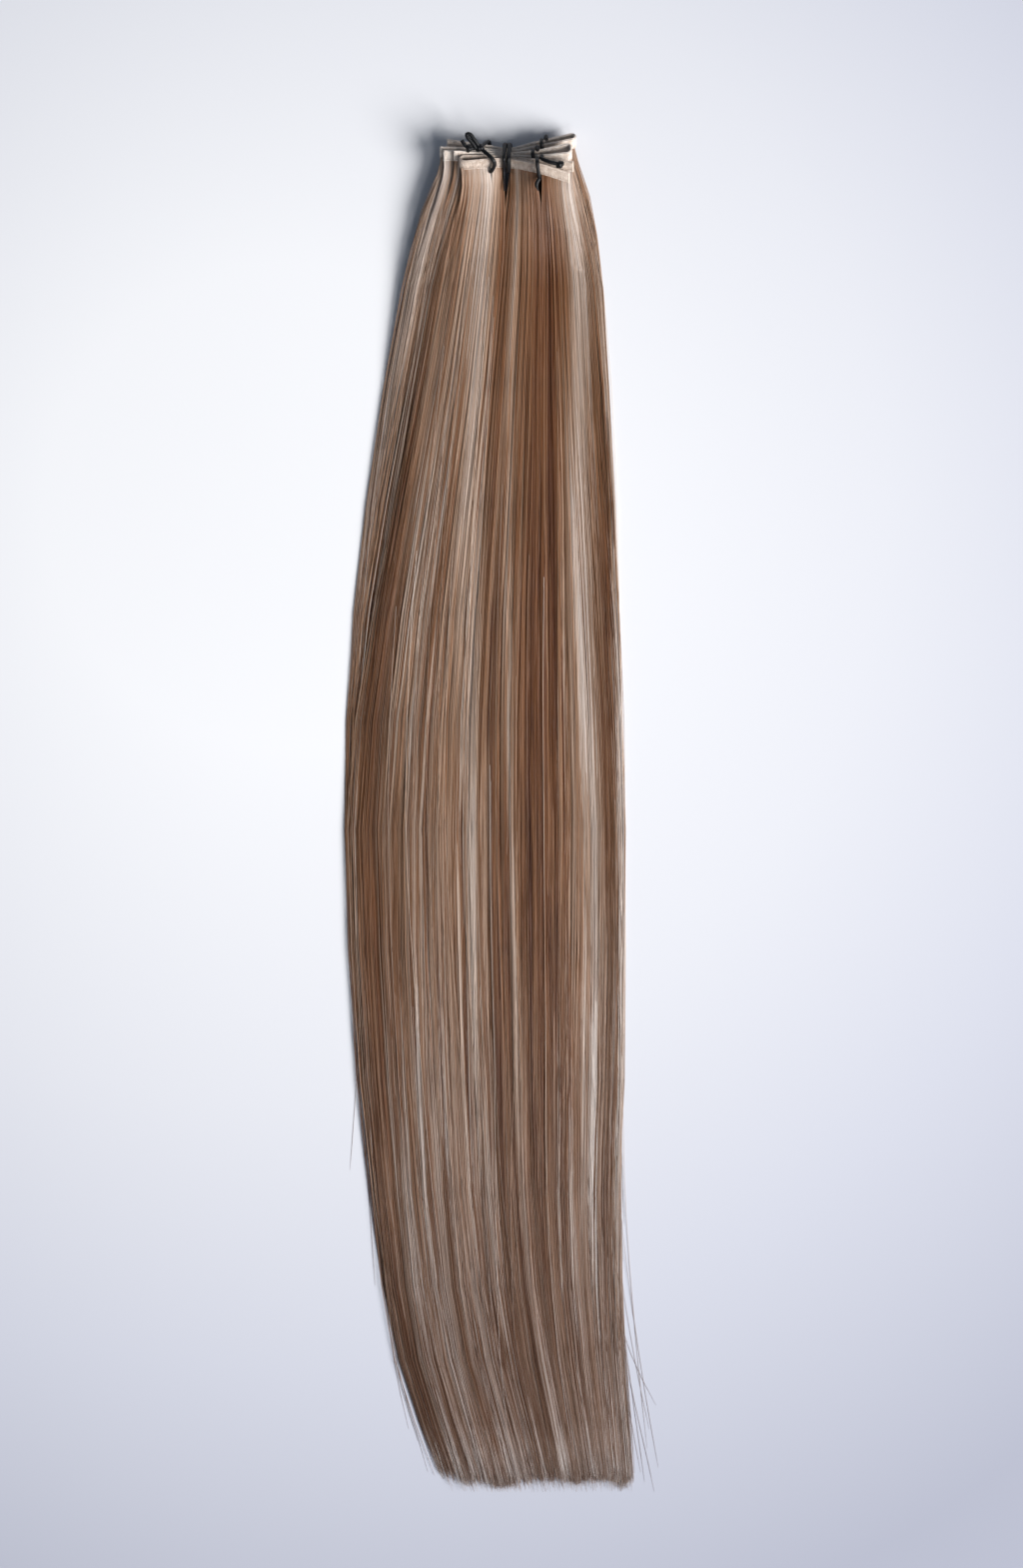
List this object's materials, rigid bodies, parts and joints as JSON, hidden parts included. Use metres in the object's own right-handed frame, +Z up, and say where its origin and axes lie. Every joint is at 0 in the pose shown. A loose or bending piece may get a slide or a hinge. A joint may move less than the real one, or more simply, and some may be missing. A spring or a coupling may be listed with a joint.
{
  "type": "hair extension weft",
  "caption": "Lying bundle of hybrid weft hair extensions: folded stitched seam bands tied with black cord at the head, and long straight highlighted hair down to blunt ragged tips.",
  "frame": {"origin": "on the table under the middle of the whole lying bundle", "axes": "+Z up from the table, +Y from the hair tips to the seam bands, +X to the right as seen from above"},
  "size_m": [0.12, 0.5601, 0.0228],
  "materials": {
    "hair": "straight human hair, brown blended with sand and ash-blond streaks, soft silky sheen",
    "weft_band": "cream and taupe machine-stitched seam tape",
    "tie_cord": "black satin elastic cord"
  },
  "bodies": {
    "root": {"back_weft_band": "weft_band", "back_weft_hair": "hair", "middle_weft_band": "weft_band", "middle_weft_hair": "hair", "front_weft_band": "weft_band", "front_weft_hair": "hair", "centre_tie": "tie_cord", "left_tie": "tie_cord", "back_tie": "tie_cord", "middle_tie": "tie_cord", "front_tie": "tie_cord"}
  },
  "joints": []
}
